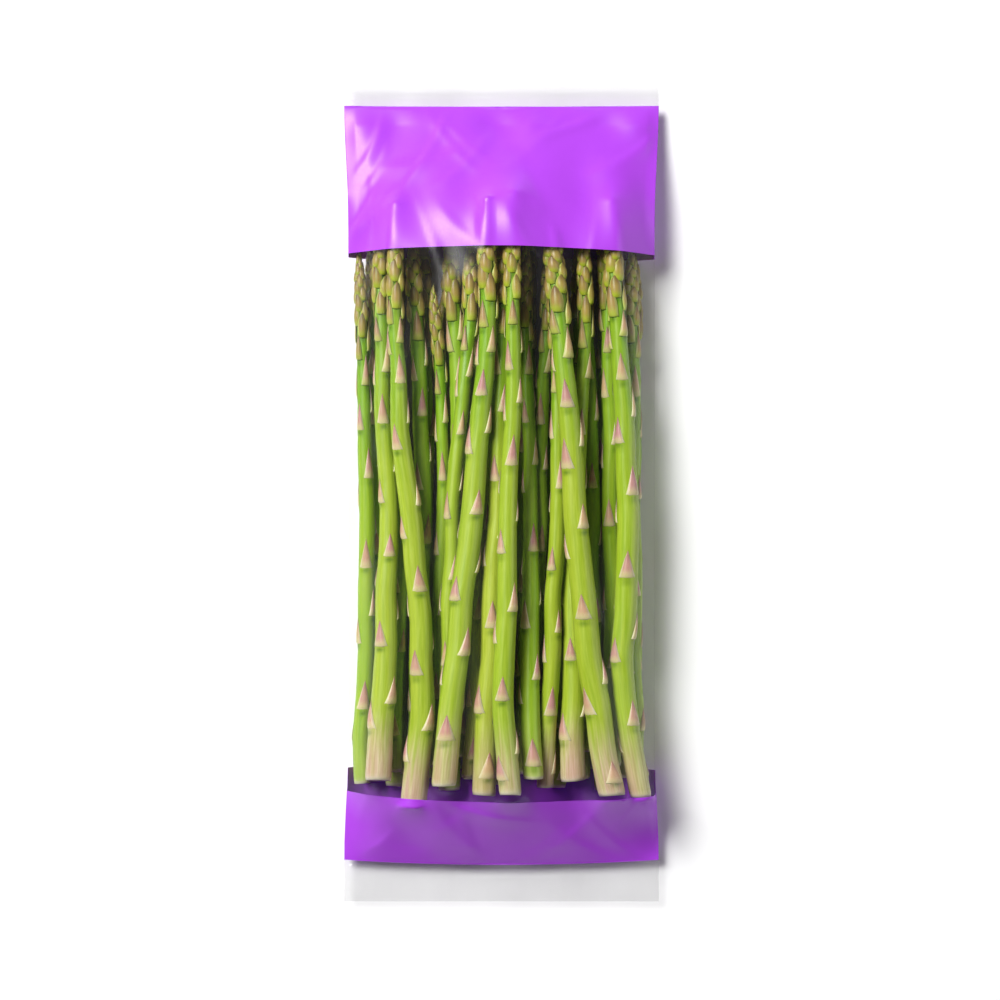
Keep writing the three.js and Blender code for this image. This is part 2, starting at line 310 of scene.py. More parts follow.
@dataclass(frozen=True)
class ClearFilm:
    """Clear polyethylene film: what isn't gloss or haze lets the light through.

    It gives the eye soft glints on the folds and a faint bloom, and leaves the spears in full colour.
    """

    name: str = "clear_polyethylene_film"
    tint: str = "fdfdfd"  # what passes through
    milk: str = "ececec"
    haze: float = 0.003
    gloss: float = 0.11  # share of a bare film's mirror reflection
    most_gloss: float = 0.03
    roughness: float = 0.2
    cloud_mm: float = 22.0  # size of the hazier patches

    def build(self) -> bpy.types.Material:
        """Builds the film, with hazier patches drawn out along the bag.

        Returns:
            The finished material.
        """
        material = new_material(self.name)
        tree = material.node_tree
        place = add_node(tree, "ShaderNodeTexCoord").outputs["Object"]
        drawn = add_node(tree, "ShaderNodeMapping", {"Vector": place, "Scale": (1.0, 0.3, 1.0)})
        inputs = {"Vector": drawn.outputs[0], "Scale": 1 / (self.cloud_mm * MM), "Detail": 4.0}
        cloud = add_node(tree, "ShaderNodeTexNoise", inputs)
        inputs = {"Value": cloud.outputs["Fac"], "From Min": 0.4, "From Max": 0.75}
        inputs |= {"To Min": self.haze * 0.4, "To Max": self.haze * 3}
        haze = add_node(tree, "ShaderNodeMapRange", inputs)
        rim = add_node(tree, "ShaderNodeFresnel", {"IOR": 1.5})
        gloss = add_node(tree, "ShaderNodeMath", {0: rim.outputs[0], 1: self.gloss}, operation="MULTIPLY")
        inputs = {0: gloss.outputs[0], 1: self.most_gloss}
        capped = add_node(tree, "ShaderNodeMath", inputs, operation="MINIMUM")
        clear = add_node(tree, "ShaderNodeBsdfTransparent", {"Color": hex_to_linear(self.tint)})
        inputs = {"Base Color": hex_to_linear("ffffff"), "Metallic": 1.0, "Roughness": self.roughness}
        mirror = add_node(tree, "ShaderNodeBsdfPrincipled", inputs)
        inputs = {"Base Color": hex_to_linear(self.milk), "Roughness": 0.6}
        milk = add_node(tree, "ShaderNodeBsdfPrincipled", inputs)
        inputs = {0: haze.outputs[0], 1: clear.outputs[0], 2: milk.outputs[0]}
        hazy = add_node(tree, "ShaderNodeMixShader", inputs)
        inputs = {0: capped.outputs[0], 1: hazy.outputs[0], 2: mirror.outputs[0]}
        film = add_node(tree, "ShaderNodeMixShader", inputs)
        add_node(tree, "ShaderNodeOutputMaterial", {"Surface": film.outputs[0]})
        return material


@dataclass(frozen=True)
class PurplePrint:
    """Purple flexographic ink laid over the film: opaque and satin, a little uneven.

    It gives the eye a deep violet that turns pink and pale where a fold catches the light.
    """

    name: str = "purple_flexo_ink"
    ink: tuple[str, str] = ("a83ddc", "b246e6")
    behind: str = "9a3ad8"  # what little light passes through
    cover: float = 0.96
    roughness: float = 0.4
    clouds_per_m: float = 60.0  # clouds of heavier ink, about 17 mm across
    grain_per_m: float = 900.0  # ink grain, drawn at about 1 mm, coarser than the real one so that it shows

    def build(self) -> bpy.types.Material:
        """Builds the ink, with faint clouds of heavier cover and a fine grain.

        Returns:
            The finished material.
        """
        material = new_material(self.name)
        tree = material.node_tree
        place = add_node(tree, "ShaderNodeTexCoord").outputs["Object"]
        patterns = []
        for scale, detail in ((self.clouds_per_m, 3.0), (self.grain_per_m, 2.0)):
            inputs = {"Vector": place, "Scale": scale, "Detail": detail}
            patterns.append(add_node(tree, "ShaderNodeTexNoise", inputs).outputs["Fac"])
        cloud, grain = patterns
        inputs = {0: cloud, MIX_UNDER: hex_to_linear(self.ink[0]), MIX_OVER: hex_to_linear(self.ink[1])}
        ink = add_node(tree, "ShaderNodeMix", inputs, data_type="RGBA")
        inputs = {"Value": grain, "To Min": self.roughness - 0.05, "To Max": self.roughness + 0.05}
        rough = add_node(tree, "ShaderNodeMapRange", inputs)
        inputs = {"Base Color": ink.outputs[MIXED], "Roughness": rough.outputs[0], "IOR": 1.45}
        inputs |= {"Coat Weight": 0.2, "Coat Roughness": 0.3}
        surface = add_node(tree, "ShaderNodeBsdfPrincipled", inputs)
        through = add_node(tree, "ShaderNodeBsdfTransparent", {"Color": hex_to_linear(self.behind)})
        inputs = {0: self.cover, 1: through.outputs[0], 2: surface.outputs[0]}
        film = add_node(tree, "ShaderNodeMixShader", inputs)
        add_node(tree, "ShaderNodeOutputMaterial", {"Surface": film.outputs[0]})
        return material


@dataclass(frozen=True)
class Table:
    """Matt white painted board under the bag, which gives the eye soft shadows and no shine."""

    name: str = "matt_white_board"
    paint: str = "fafafa"

    def build(self) -> bpy.types.Material:
        """Builds the paint.

        Returns:
            The finished material.
        """
        material = new_material(self.name)
        tree = material.node_tree
        inputs = {"Base Color": hex_to_linear(self.paint), "Roughness": 0.9}
        surface = add_node(tree, "ShaderNodeBsdfPrincipled", inputs)
        add_node(tree, "ShaderNodeOutputMaterial", {"Surface": surface.outputs[0]})
        return material


# ---- Spears ----


class SpearTone(Enum):
    """How a spear is coloured: how yellow its stem, how woody its cut end, and how purple and dark its head,
    which is partly painted shade.
    """

    DEEP = (0.0, 0.15, 0.7)
    FRESH = (0.3, 0.75, 0.2)
    YELLOW = (0.75, 0.5, 0.1)
    PALE = (0.5, 1.0, 0.35)


TONES = {
    "spear_21": SpearTone.DEEP,
    "spear_22": SpearTone.FRESH,
    "spear_23": SpearTone.PALE,
    "spear_24": SpearTone.FRESH,
    "spear_25": SpearTone.YELLOW,
    "spear_26": SpearTone.PALE,
    "spear_27": SpearTone.YELLOW,
    "spear_28": SpearTone.DEEP,
    "spear_29": SpearTone.PALE,
    "spear_30": SpearTone.PALE,
    "spear_31": SpearTone.FRESH,
    "spear_32": SpearTone.FRESH,
    "spear_33": SpearTone.PALE,
}


@dataclass(frozen=True)
class CoreLine:
    """A spear's centre line and radius in metres, at even steps along Y, read from its solid."""

    start: float
    end: float
    x: np.ndarray
    z: np.ndarray
    radius: np.ndarray

    STEP = 0.5 * MM

    @classmethod
    def of_node(cls, name: str, random: np.random.Generator) -> "CoreLine":
        """Reads the rings of a spear's solid, each of which lies at one Y.

        Args:
            name: the CAD node.
            random: the spear's own random numbers, for its slight crookedness.

        Returns:
            The centre line, smoothed between the rings.
        """
        corners = np.array([v.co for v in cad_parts[name].data.vertices])
        levels = np.round(corners[:, 1], 5)
        rings = [corners[levels == level] for level in np.unique(levels)]
        y = np.array([ring[:, 1].mean() for ring in rings])
        centre_x = np.array([(ring[:, 0].max() + ring[:, 0].min()) / 2 for ring in rings])
        centre_z = np.array([(ring[:, 2].max() + ring[:, 2].min()) / 2 for ring in rings])
        radius = np.array([(ring[:, 0].max() - ring[:, 0].min()) / 2 for ring in rings])
        even = np.arange(y[0], y[-1] + cls.STEP, cls.STEP)
        bends = np.arange(y[0] - 20 * MM, y[-1] + 40 * MM, 19 * MM)
        sideways = np.interp(even, bends, random.uniform(-0.75, 0.75, len(bends)) * MM)
        return cls(
            start=y[0],
            end=y[-1],
            x=cls.smoothed(np.interp(even, y, centre_x), 40) + cls.smoothed(sideways, 9),
            z=cls.smoothed(np.interp(even, y, centre_z), 40),
            radius=cls.smoothed(np.interp(even, y, radius), 14),
        )

    @staticmethod
    def smoothed(values: np.ndarray, reach: int) -> np.ndarray:
        """A running mean that keeps the slope at both ends.

        Args:
            values: what to smooth.
            reach: how many steps it looks each way.

        Returns:
            As many values, smoothed.
        """
        ahead = 2 * values[-1] - values[-reach - 1 : -1][::-1]
        behind = 2 * values[0] - values[1 : reach + 1][::-1]
        padded = np.concatenate([behind, values, ahead])
        return np.convolve(padded, np.ones(2 * reach + 1) / (2 * reach + 1), "valid")

    def at(self, y: float) -> Triple:
        """Reads the line at one place.

        Args:
            y: place along the bag.

        Returns:
            X, Z and the radius there.
        """
        place = min(max((y - self.start) / self.STEP, 0.0), len(self.x) - 1.001)
        i = int(place)
        share = place - i
        return tuple(float(blend(a[i], a[i + 1], share)) for a in (self.x, self.z, self.radius))


@dataclass(frozen=True)
class Scale:
    """One scale leaf: where its base is, how large it is and how far it stands off."""

    y: float
    angle: float
    height: float
    half_width: float
    ledge: float  # how far its base stands proud
    plump: float  # how far its middle swells
    lift: float  # how far its tip stands up
    headness: float  # 0 on the stem to 1 in the head
    tint: float  # 0 mauve to 1 tan
    off_stem: float = 0.12 * MM  # keeps all of the leaf off the stem
    least_width: float = 0.04 * MM

    def outline(self, v: float) -> float:
        """Gives the leaf its shape: a pointed arch on the stem, a teardrop in the head.

        Args:
            v: share of the leaf's height.

        Returns:
            Half its width there.
        """
        inside = min(max(v, 0.0), 1.0)
        arch = (1 - inside**1.12) * (1 + 0.12 * (1 - inside) ** 6)
        teardrop = (0.72 + 0.9 * inside) * (1 - inside**2.3)
        return self.half_width * blend(arch, teardrop, ramp(self.headness, 0.6, 1.0)) + self.least_width

    def stand_off(self, u: float, v: float) -> float:
        """Gives the leaf its thickness, with its foot turned in under the ledge.

        Args:
            u: place across the leaf, from -1 to 1.
            v: share of its height, or less than 0 on its foot.

        Returns:
            How far its outside stands above the stem there.
        """
        inside = min(max(v, 0.0), 1.0)
        if v < 0:
            return blend(self.ledge + 0.1 * MM, -0.3 * MM, min(1.0, -v / 0.08)) * (1 - 0.3 * u**4)
        height = self.ledge * (1 - inside) ** 1.4 * (1 - 0.45 * u**4)
        height += self.plump * math.sin(math.pi * inside**0.75) * (1 - u * u)
        return height + self.lift * inside**2 + self.off_stem


@dataclass
class Spear:
    """One asparagus spear: a stem with a cut end, scale leaves up its length and a tight bud."""

    node: str
    sides: int = 30
    station: float = 1.8 * MM  # between the stem's rings
    scale_cells: tuple[int, int] = (4, 8)
    scale_thickness: float = 0.2 * MM
    scale_foot: float = 0.09  # share of a scale leaf that turns in under its base
    widest_scale: float = 4.6 * MM  # half width
    number: int = field(init=False)
    random: np.random.Generator = field(init=False)
    line: CoreLine = field(init=False)
    tone: SpearTone = field(init=False)
    phase: np.ndarray = field(init=False)  # turns the flutes and the slope of the cut
    cut_slope: float = field(init=False)
    scales: list[Scale] = field(init=False)

    def __post_init__(self) -> None:
        """Reads the centre line, and sets out the scale leaves."""
        self.number = int(self.node[-2:])
        self.random = np.random.default_rng(SEED + self.number)
        self.line = CoreLine.of_node(self.node, self.random)
        self.tone = TONES.get(self.node, SpearTone.DEEP)
        self.phase = self.random.uniform(0, 2 * math.pi, 3)
        self.cut_slope = self.random.uniform(-0.14, 0.14)
        self.scales = self.set_out_scales()

    def share(self, y: float) -> float:
        """Share of the spear's length at y, from the cut end to the tip."""
        return (y - self.line.start) / (self.line.end - self.line.start)

    def core_radius(self, y: float) -> float:
        """The stem's own radius inside the scales, which make up the outside of the head."""
        radius = self.line.at(y)[2]
        return radius * (0.96 - 0.3 * ramp(self.share(y), 0.72, 0.9))

    def spacing(self, share: float) -> float:
        """Distance to the next scale leaf, which shrinks towards the tip.

        Args:
            share: share of the spear's length.

        Returns:
            The distance in metres.
        """
        if share < 0.55:
            return 11.5 * MM
        if share < 0.8:
            return blend(10.0, 3.9, (share - 0.55) / 0.25) * MM
        return blend(2.5, 1.0, ramp(share, 0.8, 0.95)) * MM

    def set_out_scales(self) -> list[Scale]:
        """Places the scale leaves up the stem in a spiral, large and flat below, small and tight above.

        Returns:
            The scale leaves, from the cut end up.
        """
        scales = []
        y = self.line.start + self.random.uniform(3, 10) * MM
        angle = self.random.uniform(0, 2 * math.pi)
        while self.share(y) < 0.985:
            share = self.share(y)
            radius = self.line.at(y)[2]
            headness = ramp(share, 0.66, 0.86)
            size = self.random.uniform(0.86, 1.14)
            height = blend(10.4, 11.5, ramp(share, 0.3, 0.75)) * size * MM
            height = blend(height, 4.4 * MM, ramp(share, 0.78, 0.98))
            half_width = blend(0.66, 0.76, headness) + 0.14 * ramp(share, 0.2, 0.02)
            half_width = min(half_width * radius, self.widest_scale) * size
            scales.append(
                Scale(
                    y=y,
                    angle=angle,
                    height=min(height, self.line.end + 0.6 * MM - y),
                    half_width=half_width,
                    ledge=blend(0.42, 0.5, headness) * self.random.uniform(0.7, 1.3) * MM,
                    plump=blend(0.1, 0.26, headness) * radius * (1 - 0.5 * ramp(share, 0.9, 1.0)),
                    lift=blend(0.0, 1.0, headness) * self.random.uniform(0.1, 1.0) * MM,
                    headness=headness,
                    tint=float(self.random.uniform(0, 1)),
                )
            )
            angle += GOLDEN_ANGLE + self.random.uniform(-0.2, 0.2)
            y += self.spacing(share) * self.random.uniform(0.8, 1.2)
        return scales

    def near_scales(self, y: float, angle: float) -> tuple[float, float]:
        """How the scale leaves shape and mark the stem at a point.

        Args:
            y: place along the bag.
            angle: place round the stem.

        Returns:
            How far the stem bulges there, and how much dark green marking and painted shade lies below the
            scale leaves there.
        """
        bulge = mark_and_shade = 0.0
        for scale in self.scales:
            above = (y - scale.y) / MM
            if -6 < above < 12:
                turn = math.remainder(angle - scale.angle, 2 * math.pi)
                stem = 1 - scale.headness
                # A swelling behind the leaf, a slight waist below it, and at its base dark green marking
                # with painted shade under the ledge.
                bulge += 0.32 * stem * math.exp(-((turn / 0.75) ** 2) - ((above - 1.5) / 3.5) ** 2)
                bulge -= 0.14 * math.exp(-((turn / 1.3) ** 2) - ((above + 2.5) / 1.4) ** 2)
                mark_and_shade += math.exp(-((turn / 0.45) ** 2) - ((above + 1.2) / 1.0) ** 2)
        return bulge * MM, min(mark_and_shade, 1.0)

    def stem(self, bm: bmesh.types.BMesh, layers: Layers) -> None:
        """Bends a grid round the centre line into the stem, and closes and finishes its cut end.

        Args:
            bm: the spear's mesh.
            layers: its vector layers, by name.
        """
        length = self.line.end - self.line.start
        stations = int(length / self.station)
        grid = bmesh.ops.create_grid(bm, x_segments=self.sides, y_segments=stations, size=1)["verts"]
        for vert in grid:
            angle = math.pi * vert.co.x
            share = ((vert.co.y + 1) / 2) ** 1.04
            y = self.line.start + share * length
            x, z, _ = self.line.at(y)
            bulge, mark_and_shade = self.near_scales(y, angle)
            radius = self.core_radius(y) + bulge * ramp(share, 1.0, 0.9)
            flutes = 0.012 * math.sin(7 * angle + self.phase[0])
            radius *= 1 + flutes + 0.006 * math.sin(13 * angle + self.phase[1])
            radius *= 1 - 0.07 * ramp(share, 0.008, 0.0)
            cut = ramp(share, 0.05, 0.0) * radius
            y += cut * (self.cut_slope * math.sin(angle + self.phase[2]) + abs(self.cut_slope))
            rim = ramp(share, 0.009, 0.0)
            self.write(vert, layers, (share, 0.0, 0.5), (0.0, 0.0, 0.0), (mark_and_shade, rim, 0.0), angle, radius, y)
            vert.co = (x + radius * math.sin(angle), y, z + radius * math.cos(angle))
        bmesh.ops.remove_doubles(bm, verts=grid, dist=0.02 * MM)
        rims = [edge for edge in bm.edges if edge.is_boundary]
        cap = bmesh.ops.holes_fill(bm, edges=rims, sides=0)["faces"]
        radius = self.core_radius(self.line.start)
        for width, depth in ((0.12, 0.0), (0.28, 0.05)):
            bmesh.ops.inset_region(bm, faces=cap, thickness=width * radius, depth=-depth * radius)
            for vert in {v for face in cap for v in face.verts}:
                vert[layers["growth"]] = (0.0, 2.0, 0.5)
        bmesh.ops.poke(bm, faces=cap)

    def write(
        self,
        vert: bmesh.types.BMVert,
        layers: Layers,
        growth: Triple,
        scale: Triple,
        mark_and_shade: Triple,
        angle: float,
        radius: float,
        y: float,
    ) -> None:
        """Writes what the skin reads at a vertex.

        Args:
            vert: the vertex.
            layers: the mesh's vector layers, by name.
            growth: share of the length, kind of surface (0 stem, 1 scale, 2 cut) and tint.
            scale: place across and up a scale leaf, and how far it belongs to the head.
            mark_and_shade: dark green marks with painted shade under the scale leaves, and the pale rim of
                the cut.
            angle: place round the stem.
            radius: distance from the centre line.
            y: place along the bag.
        """
        turn = radius / MM
        apart = self.number * 37  # so that no two spears share a pattern
        drawn_out = y / MM * 0.05  # the pattern is twenty times as long as it is wide
        carried = {
            "growth": growth,
            "scale": scale,
            "tone": self.tone.value,
            "mark_and_shade": mark_and_shade,
            "skin": (turn * math.cos(angle) + apart, turn * math.sin(angle), drawn_out),
        }
        for name, value in carried.items():
            vert[layers[name]] = value

    def scale_leaf(self, bm: bmesh.types.BMesh, layers: Layers, scale: Scale) -> None:
        """Lays one scale leaf on the stem: a ledge at its base, a plump middle and a pointed tip.

        Args:
            bm: the spear's mesh.
            layers: its vector layers, by name.
            scale: the leaf.
        """
        across, along = self.scale_cells
        leaf = bmesh.ops.create_grid(bm, x_segments=across, y_segments=along, size=1)["verts"]
        for vert in leaf:
            u = vert.co.x
            v = (vert.co.y + 1) / 2 * (1 + self.scale_foot) - self.scale_foot
            arch = 0.025 * scale.height * u * u * (1 - max(v, 0.0))
            y = scale.y + v * scale.height + arch
            x, z, _ = self.line.at(y)
            radius = self.core_radius(min(y, self.line.end - 0.3 * MM)) + scale.stand_off(u, v)
            angle = scale.angle + u * scale.outline(v) / max(radius, 0.8 * MM)
            growth = (self.share(y), 1.0, scale.tint)
            self.write(vert, layers, growth, (u, v, scale.headness), (0.0, 0.0, 0.0), angle, radius, y)
            vert.co = (x + radius * math.sin(angle), y, z + radius * math.cos(angle))
        faces = list(dict.fromkeys(face for vert in leaf for face in vert.link_faces))
        bmesh.ops.solidify(bm, geom=faces, thickness=self.scale_thickness)

    def build(self, skin: bpy.types.Material) -> bpy.types.Object:
        """Builds the spear and lets it stand for its CAD node.

        Args:
            skin: the asparagus skin.

        Returns:
            The finished piece.
        """
        bm = bmesh.new()
        names = ("growth", "scale", "tone", "mark_and_shade", "skin")
        layers = {name: bm.verts.layers.float_vector.new(name) for name in names}
        self.stem(bm, layers)
        bmesh.ops.recalc_face_normals(bm, faces=list(bm.faces))
        for scale in self.scales:
            self.scale_leaf(bm, layers, scale)
        for face in bm.faces:
            face.smooth = True
        piece = finish_mesh(bm, self.node.replace("spear", "asparagus"), [skin])
        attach(piece, "root")
        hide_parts(self.node)
        log.info("%s: %d scales, %d faces", piece.name, len(self.scales), len(piece.data.polygons))
        return piece


# ---- The film bag ----


@dataclass(frozen=True)
class Fold:
    """One soft ridge in the film: its middle, the way it runs, and how long, wide and high it is."""

    x: float
    y: float
    angle: float
    length: float
    width: float
    height: float

    def height_at(self, x: np.ndarray, y: np.ndarray) -> np.ndarray:
        """Raises a curved ridge, sharper on one side than the other.

        Args:
            x: X of every grid point.
            y: Y of every grid point.

        Returns:
            Height of the fold at every grid point.
        """
        along = (x - self.x) * math.cos(self.angle) + (y - self.y) * math.sin(self.angle)
        aside = (y - self.y) * math.cos(self.angle) - (x - self.x) * math.sin(self.angle)
        aside = aside - 0.12 * self.length * (along / self.length) ** 2
        width = np.where(aside > 0, self.width, self.width * 2.2)
        return self.height * np.exp(-((along / self.length) ** 4) - (aside / width) ** 2)


@dataclass
class FilmPanel:
    """One panel of the bag: film drawn over the spears, with its printed bands and heat seals."""

    node: str
    side: int  # 1 for the front panel over the spears, -1 for the back panel under them
    header_edge: float
    footer_edge: float
    columns: int = 124
    rows: tuple[int, ...] = (36, 40, 178, 66, 22)  # seal, footer, window, header, seal
    crowding: float = 0.8  # how much the columns crowd towards the sides
    film: float = 0.07 * MM
    cut: tuple[float, float] = (127 * MM, 330 * MM)  # the flat panel, before the bag was filled
    clearance: float = 1.0 * MM
    head_clearance: float = 0.9 * MM  # more of it over the heads, whose scales stand up
    fold_depth: float = 0.15 * MM  # how far a fold may cut into the clearance
    relaxing_steps: int = 600
    softening_steps: int = 5
    crimp_pitch: float = 2.4 * MM  # of the heat seals' ribs
    crimp_depth: float = 0.12 * MM
    header_top: float = 155.8 * MM
    footer_end: float = -150.2 * MM

    def outline(self) -> tuple[np.ndarray, np.ndarray, np.ndarray]:
        """Reads the panel's outline from its solid.

        Returns:
            For each row of the solid, its Y, its half width and the height of its edge.
        """
        corners = np.array([v.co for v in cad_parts[self.node].data.vertices])
        levels = np.round(corners[:, 1], 4)
        rows = [corners[levels == level] for level in np.unique(levels)]
        y = np.array([row[:, 1].mean() for row in rows])
        half = np.array([row[:, 0].max() for row in rows])
        height = np.array([row[row[:, 0] > row[:, 0].max() - 0.01 * MM][:, 2].mean() for row in rows])
        return y, half, height

    def layout(self) -> tuple[np.ndarray, np.ndarray, np.ndarray]:
        """Sets out the film's grid, with a row along each edge of the print.

        Returns:
            X and Y of every grid point, and the height of the edge for every row.
        """
        solid_y, solid_half, solid_edge = self.outline()
        s = np.linspace(-1, 1, self.columns + 1)
        share = (1 - self.crowding) * s + self.crowding * np.sin(math.pi / 2 * s)
        print_edges = [self.footer_end, self.footer_edge, self.header_edge, self.header_top]
        marks = [solid_y[0], *print_edges, solid_y[-1]]
        spans = zip(marks[:-1], marks[1:], self.rows)
        rows = np.concatenate([*(np.linspace(a, b, n, endpoint=False) for a, b, n in spans), marks[-1:]])
        half = np.interp(rows, solid_y, solid_half)
        x = share[None, :] * half[:, None]
        sag = [0, 2.0, 2.6 if self.side > 0 else 1.0, -2.2 if self.side > 0 else -1.0, 0.3, 0]
        bow = np.interp(rows, marks, np.array(sag) * MM)[:, None] * share[None, :] ** 2
        skew = np.interp(rows, marks, np.array([0, 0, -0.5, -0.4, 0, 0]) * MM)[:, None] * share[None, :]
        return x, rows[:, None] + bow + skew, np.interp(rows, solid_y, solid_edge)

    def bundle(self, x: np.ndarray, y: np.ndarray, spears: list[Spear]) -> np.ndarray:
        """Finds how far the bundle pushes the film out.

        Args:
            x: X of every grid point.
            y: Y of every grid point.
            spears: the spears in the bag.

        Returns:
            The height that the film may not pass at every grid point, or one far away where nothing is.
        """
        found = np.full(x.shape, -self.side * 1.0)
        for spear in spears:
            line = spear.line
            along = line.start + np.arange(len(line.x)) * line.STEP
            share = (along - line.start) / (line.end - line.start)
            reach = line.radius + self.clearance + np.clip((share - 0.7) / 0.2, 0, 1) * self.head_clearance
            centre, height, radius = (np.interp(y, along, part) for part in (line.x, line.z, reach))
            inside = (np.abs(x - centre) < radius) & (y > line.start - 1.5 * MM) & (y < line.end + 2 * MM)
            surface = height + self.side * np.sqrt(np.maximum(radius**2 - (x - centre) ** 2, 0))
            found = np.where(inside & (self.side * (surface - found) > 0), surface, found)
        return found

    def drape(self, x: np.ndarray, y: np.ndarray, edge: np.ndarray, spears: list[Spear]) -> np.ndarray:
        """Stretches the film over the bundle from its seals and side edges, like a soap film.

        Args:
            x: X of every grid point.
            y: Y of every grid point.
            edge: height of the side edge for every row.
            spears: the spears in the bag.

        Returns:
            The height of every grid point.
        """
        limit = self.bundle(x, y, spears)[1:-1, 1:-1]
        z = np.repeat(edge[:, None], x.shape[1], 1)
        rows = y[:, self.columns // 2]
        free = ((rows > self.footer_end) & (rows < self.header_top))[1:-1, None]
        gap_x, gap_y = np.diff(x, axis=1)[1:-1], np.diff(y, axis=0)[:, 1:-1]
        weights = [
            2 / (gap_x[:, :-1] * (gap_x[:, :-1] + gap_x[:, 1:])),
            2 / (gap_x[:, 1:] * (gap_x[:, :-1] + gap_x[:, 1:])),
            2 / (gap_y[:-1] * (gap_y[:-1] + gap_y[1:])),
            2 / (gap_y[1:] * (gap_y[:-1] + gap_y[1:])),
        ]
        i, j = np.indices(limit.shape)
        inner = z[1:-1, 1:-1]
        for step in range(self.relaxing_steps):
            around = (z[1:-1, :-2], z[1:-1, 2:], z[:-2, 1:-1], z[2:, 1:-1])
            mean = sum(w * near for w, near in zip(weights, around)) / sum(weights)
            moved = inner + 1.85 * (mean - inner)
            if self.side > 0:
                moved = np.maximum(moved, limit)
            else:
                moved = np.maximum(np.minimum(moved - 0.02 * MM, limit), self.film)
            inner[:] = np.where(((i + j + step) % 2 == 0) & free, moved, inner)
        for _ in range(self.softening_steps):
            soft = (4 * inner + z[1:-1, :-2] + z[1:-1, 2:] + z[:-2, 1:-1] + z[2:, 1:-1]) / 8
            inner[:] = np.where(free, soft, inner)
        return z

    @staticmethod
    def rise(value: np.ndarray, low: float, high: float) -> np.ndarray:
        """A straight rise from 0 at low to 1 at high."""
        return np.clip((value - low) / (high - low), 0, 1)

    def waves(self, x: np.ndarray, y: np.ndarray, random: np.random.Generator) -> np.ndarray:
        """Broad slack in the printed bands, as wandering waves that lie across one another.

        Args:
            x: X of every grid point.
            y: Y of every grid point.
            random: the panel's random numbers.

        Returns:
            Height at every grid point.
        """
        slack = np.zeros_like(x)
        for _ in range(8):
            angle, wave = random.uniform(-0.9, 0.9), random.uniform(16, 44) * MM
            bend = 0.6 * np.sin(x / (31 * MM) + random.uniform(0, 6))
            bend = bend + 0.5 * np.sin(y / (23 * MM) + random.uniform(0, 6))
            lie = (x * math.cos(angle) + y * math.sin(angle)) / wave
            slack += np.sin(2 * math.pi * lie + random.uniform(0, 6) + bend) * wave * 0.0085
        return slack

    def folds(self, x: np.ndarray, y: np.ndarray) -> np.ndarray:
        """Slack in the film: slanting folds in the bands, fine creases in the window, and crimped seals.

        Args:
            x: X of every grid point.
            y: Y of every grid point.

        Returns:
            Height at every grid point.
        """
        random = np.random.default_rng(SEED + self.side)
        across = np.abs(x) / np.abs(x[:, -1:])
        loose = np.clip((1 - across) / 0.07, 0, 1)
        header = self.rise(y, self.header_edge - 12 * MM, self.header_edge)
        header = header * self.rise(-y, -self.header_top, 8 * MM - self.header_top)
        footer = self.rise(-y, -self.footer_edge - 5 * MM, -self.footer_edge)
        footer = footer * self.rise(y, self.footer_end, self.footer_end + 8 * MM)
        slack = self.waves(x, y, random)
        bands = ((self.header_edge, self.header_top, 17), (self.footer_end, self.footer_edge, 9))
        for low, high, count in bands:
            for _ in range(count):
                fold = Fold(
                    x=random.uniform(-58, 58) * MM,
                    y=random.uniform(low + 2 * MM, high - 4 * MM),
                    angle=random.choice([-1, 1]) * random.uniform(0.25, 1.2),
                    length=random.uniform(9, 26) * MM,
                    width=random.uniform(1.1, 2.8) * MM,
                    height=random.uniform(0.25, 0.75) * MM,
                )
                slack += fold.height_at(x, y)
        fine = np.zeros_like(x)
        for _ in range(26):
            crease = Fold(
                x=random.choice([-1, 1]) * random.uniform(20, 60) * MM,
                y=random.uniform(self.footer_edge, self.header_edge),
                angle=random.uniform(1.1, 2.0),
                length=random.uniform(12, 40) * MM,
                width=random.uniform(0.8, 1.6) * MM,
                height=random.uniform(0.15, 0.45) * MM,
            )
            fine += crease.height_at(x, y)
        seal = 1.0 * ((y < self.footer_end) | (y > self.header_top))
        crimp = np.sin(2 * math.pi * y / self.crimp_pitch)
        crimp = self.crimp_depth * crimp * (0.6 + 0.4 * np.sin(x / (13 * MM) + y / MM))
        ripples = ((5.3, 1.0), (9.7, 2.2), (17.0, 0.4))  # each wave's length and phase, along the seal
        ripple = sum(0.25 * MM * np.sin(x / (wave * MM) + phase) for wave, phase in ripples)
        first, last = y[0, 0], y[-1, 0]
        ends = self.rise(y, first, first + 3 * MM) * self.rise(-y, -last, 3 * MM - last)
        return (header + footer) * loose * slack + loose * fine + seal * (crimp + ripple * ends * loose)

    def build(self, spears: list[Spear], finishes: list[bpy.types.Material]) -> bpy.types.Object:
        """Builds the panel and lets it stand for its CAD node.

        Args:
            spears: the spears that the film lies against.
            finishes: the clear film, the purple print and the heat-sealed film.

        Returns:
            The finished piece.
        """
        x, y, edge = self.layout()
        z = self.drape(x, y, edge, spears)
        front = self.side > 0
        if front:
            z = np.maximum(z + self.folds(x, y), self.bundle(x, y, spears) - self.fold_depth)
        else:
